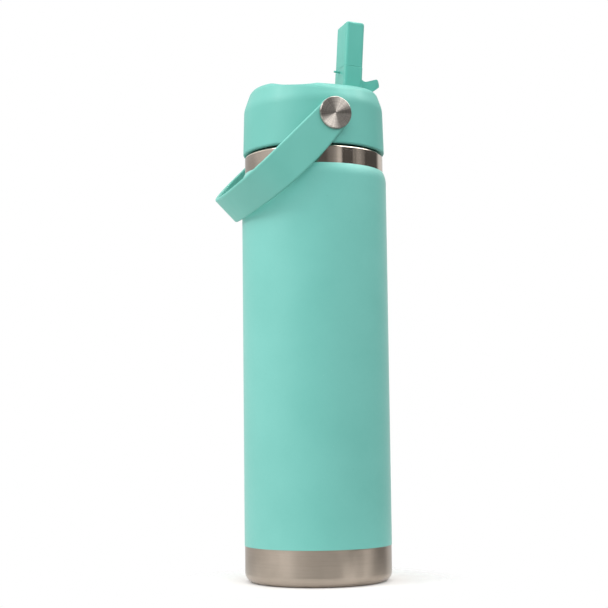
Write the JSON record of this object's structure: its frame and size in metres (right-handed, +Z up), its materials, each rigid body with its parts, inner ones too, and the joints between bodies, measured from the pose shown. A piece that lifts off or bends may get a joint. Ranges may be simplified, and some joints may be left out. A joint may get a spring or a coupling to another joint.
{
  "type": "insulated water bottle",
  "caption": "Slim double-walled steel water bottle with a screw-on straw lid, a flip-up spout with thumb tab, and a swinging U-shaped carry strap.",
  "frame": {"origin": "centre of the foot, on the bottle's axis", "axes": "+Z up the bottle's axis; +Y along the carry strap's pivot axis; +X towards the spout's thumb tab, away from the hanging strap"},
  "size_m": [0.0856, 0.0804, 0.2827],
  "materials": {
    "shell_steel": "brushed stainless",
    "coat": "satin powder coat",
    "vessel_steel": "electropolished stainless",
    "base_steel": "brushed stainless",
    "seal_glass": "solder glass bead",
    "getter": "sintered pellet",
    "clear_silicone": "translucent silicone",
    "lid_plastic": "satin moulded polypropylene",
    "plug_plastic": "natural polypropylene",
    "foam": "expanded foam",
    "straw_plastic": "translucent polypropylene",
    "spout_plastic": "satin moulded polypropylene",
    "mouth_silicone": "matt silicone",
    "strap_plastic": "soft-touch moulded elastomer",
    "screw_steel": "spun-brushed stainless",
    "bush_plastic": "acetal",
    "insert_brass": "knurled brass"
  },
  "bodies": {
    "bottle": {"outer_shell": "shell_steel", "powder_coat": "coat", "inner_vessel": "vessel_steel", "base_cup": "base_steel", "base_cap": "base_steel", "vacuum_seal": "seal_glass", "vacuum_getter": "getter"},
    "gasket": {"lid_gasket": "clear_silicone"},
    "lid": {"lid_cover": "lid_plastic", "lid_plug": "plug_plastic", "lid_foam": "foam", "spout_seal": "clear_silicone", "vent_valve": "clear_silicone", "straw_adapter": "clear_silicone", "straw": "straw_plastic", "pivot_screw_near": "screw_steel", "pivot_bush_near": "bush_plastic", "pivot_washer_near": "bush_plastic", "pivot_insert_near": "insert_brass", "pivot_screw_far": "screw_steel", "pivot_bush_far": "bush_plastic", "pivot_washer_far": "bush_plastic", "pivot_insert_far": "insert_brass"},
    "spout": {"spout_base": "spout_plastic", "mouthpiece": "mouth_silicone", "vent_plug": "mouth_silicone"},
    "strap": {"carry_strap": "strap_plastic"}
  },
  "joints": [
    {"name": "lid_lift", "type": "slide", "parent": "bottle", "child": "gasket", "axis": [0, 0, 1], "range_m": [0, 0.007]},
    {"name": "lid_turn", "type": "hinge", "parent": "gasket", "child": "lid", "pos_m": [0, 0, 0.2185], "axis": [0, 0, 1], "range_deg": [0, 630]},
    {"name": "spout_flip", "type": "hinge", "parent": "lid", "child": "spout", "pos_m": [0.0186, 0, 0.2412], "axis": [0, -1, 0], "range_deg": [0, 93.6]},
    {"name": "strap_swing", "type": "hinge", "parent": "lid", "child": "strap", "pos_m": [-0.0011, 0, 0.2267], "axis": [0, 1, 0], "range_deg": [0, 143]}
  ],
  "couplings": [
    {"joint": "lid_lift", "follows": "lid_turn", "m_per_rad": 0.00063662}
  ]
}
